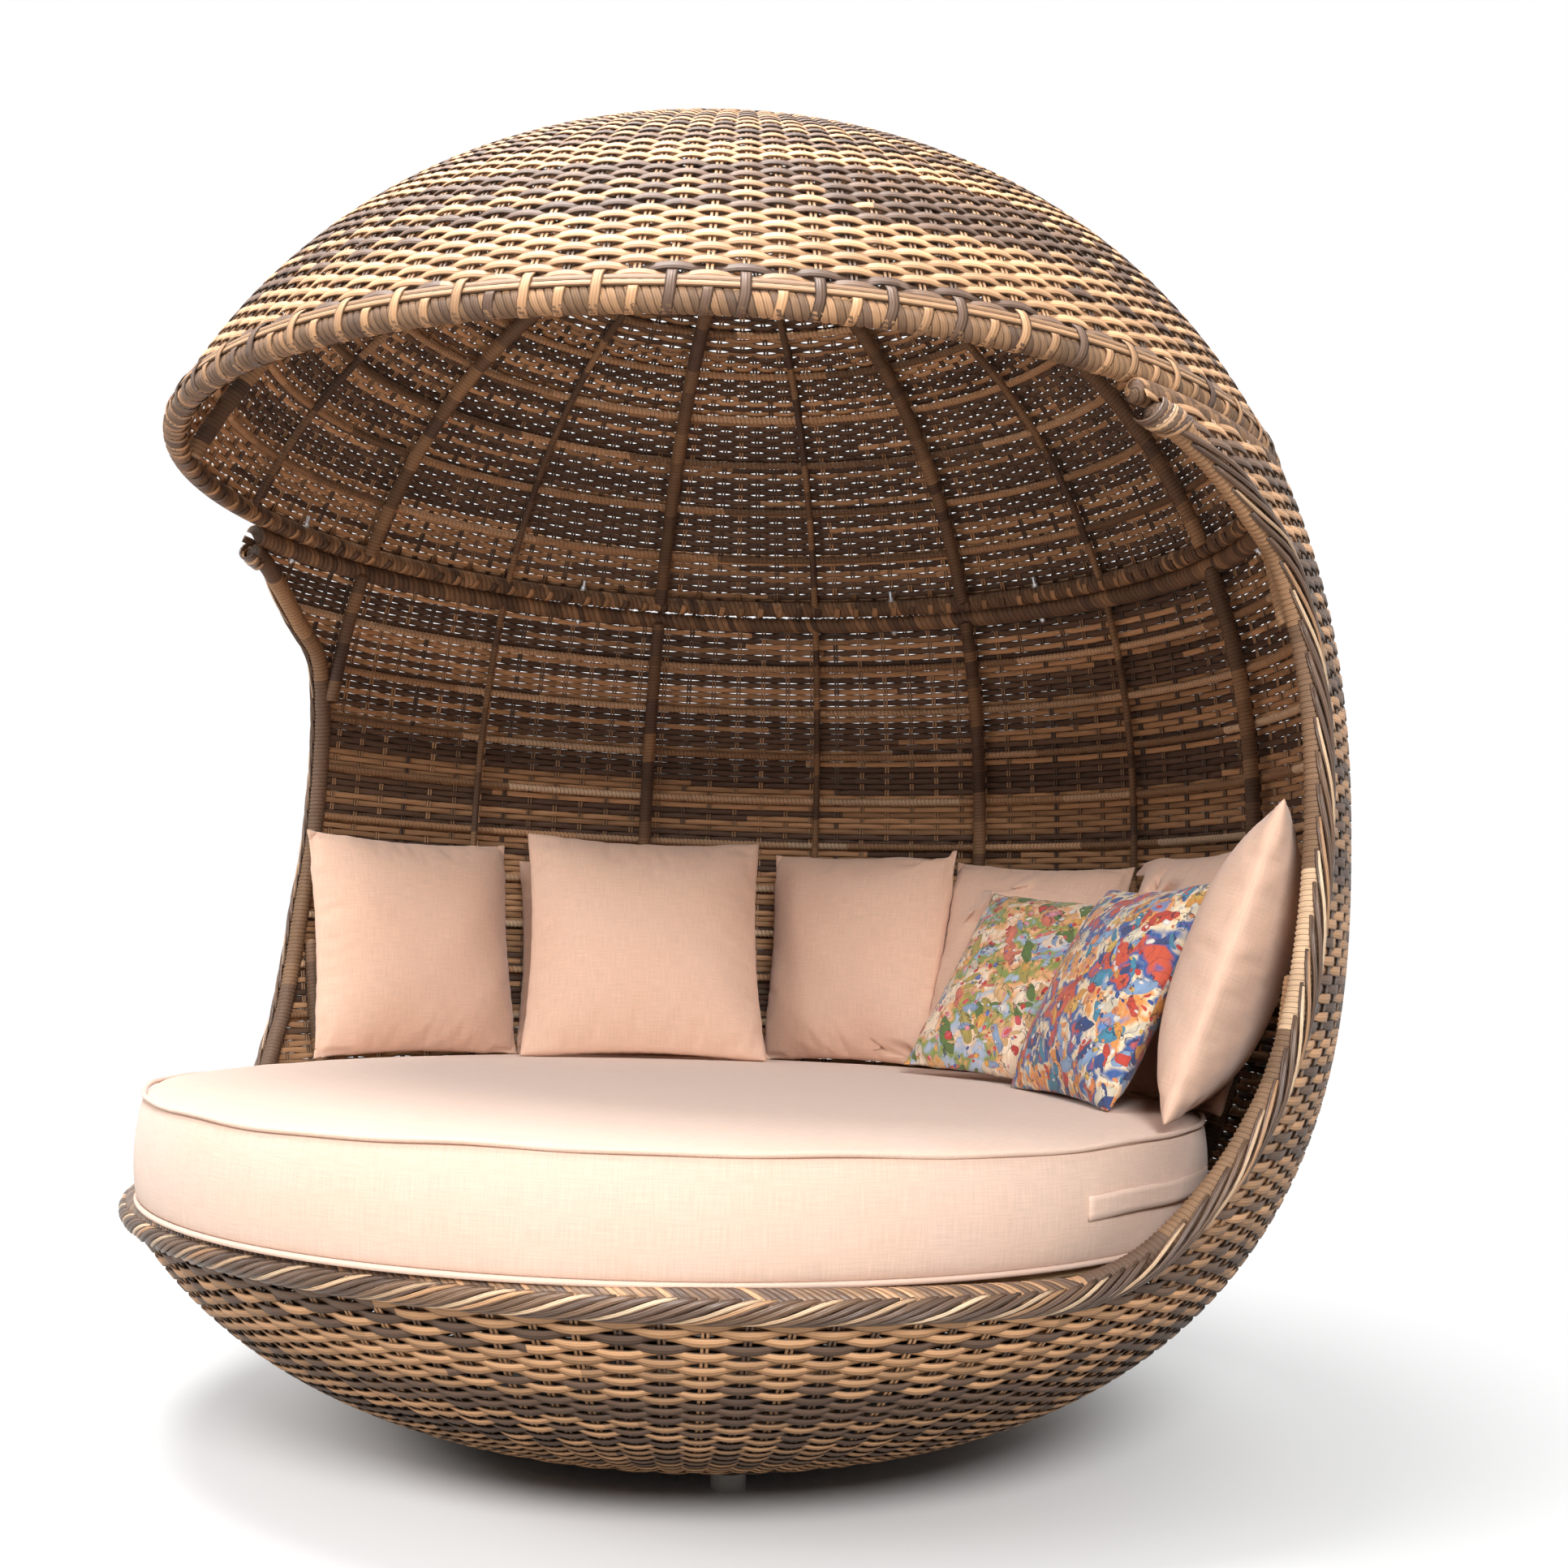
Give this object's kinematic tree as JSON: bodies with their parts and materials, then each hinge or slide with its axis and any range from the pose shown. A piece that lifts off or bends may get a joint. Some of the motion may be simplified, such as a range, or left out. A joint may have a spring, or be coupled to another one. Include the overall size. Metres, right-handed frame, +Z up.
{
  "type": "outdoor daybed with canopy",
  "caption": "Round wicker daybed shaped like a cocoon: a woven bowl with an open front, a raised back and a bolted woven dome, with a thick mattress and loose pillows",
  "frame": {"origin": "on the ground under the middle of the daybed's outline", "axes": "+Z up, -Y towards the open front, +X to the right of someone who looks at the open front"},
  "size_m": [2.03, 1.892, 2.046],
  "materials": {
    "woven_wicker": "flat ridged strands of resin wicker in golden tan and dark taupe, satin",
    "braided_wicker": "plaited strands of dark brown resin wicker with cream strands among them, satin",
    "wrapped_frame": "metal tube and rod wrapped closely in brown and tan resin wicker, satin",
    "zinc_hardware": "bright zinc plate",
    "linen_fabric": "slubby woven outdoor fabric in a warm peach beige",
    "printed_fabric": "smooth fabric with an all-over print in many colours",
    "seat_board": "sealed plywood",
    "glide_rubber": "matt pale grey"
  },
  "bodies": {
    "root": {"base_ring": "wrapped_frame", "glide_1": "glide_rubber", "glide_2": "glide_rubber", "glide_3": "glide_rubber", "glide_4": "glide_rubber", "back_rib_1": "wrapped_frame", "back_rib_2": "wrapped_frame", "back_rib_3": "wrapped_frame", "side_strut_1": "wrapped_frame", "side_strut_2": "wrapped_frame", "side_rib_1": "wrapped_frame", "side_rib_2": "wrapped_frame", "bowl_rib_1": "wrapped_frame", "bowl_rib_2": "wrapped_frame", "bowl_rib_3": "wrapped_frame", "lower_lattice": "wrapped_frame", "joint_ring": "wrapped_frame", "rim_tube": "wrapped_frame", "lower_weave": "woven_wicker", "rim_braid": "braided_wicker", "seat_ring": "wrapped_frame", "seat_bar_1": "wrapped_frame", "seat_bar_2": "wrapped_frame", "deck_panel": "seat_board", "canopy_ring": "wrapped_frame", "canopy_rib_1": "wrapped_frame", "canopy_rib_2": "wrapped_frame", "canopy_rib_3": "wrapped_frame", "canopy_rib_4": "wrapped_frame", "canopy_rib_5": "wrapped_frame", "canopy_rib_6": "wrapped_frame", "canopy_rib_7": "wrapped_frame", "canopy_rib_8": "wrapped_frame", "canopy_lattice": "wrapped_frame", "crown_hub": "wrapped_frame", "canopy_weave": "woven_wicker", "joint_bolt_1": "zinc_hardware", "joint_nut_1": "zinc_hardware", "joint_bolt_2": "zinc_hardware", "joint_nut_2": "zinc_hardware", "joint_bolt_3": "zinc_hardware", "joint_nut_3": "zinc_hardware", "joint_bolt_4": "zinc_hardware", "joint_nut_4": "zinc_hardware", "joint_bolt_5": "zinc_hardware", "joint_nut_5": "zinc_hardware", "joint_bolt_6": "zinc_hardware", "joint_nut_6": "zinc_hardware", "mattress": "linen_fabric", "mattress_handle": "linen_fabric", "pillow_2": "linen_fabric", "pillow_1": "linen_fabric", "pillow_3": "linen_fabric", "pillow_4": "linen_fabric", "pillow_6": "linen_fabric", "pillow_5": "linen_fabric", "pillow_7": "linen_fabric", "printed_pillow_1": "printed_fabric", "printed_pillow_2": "printed_fabric"}
  },
  "joints": []
}
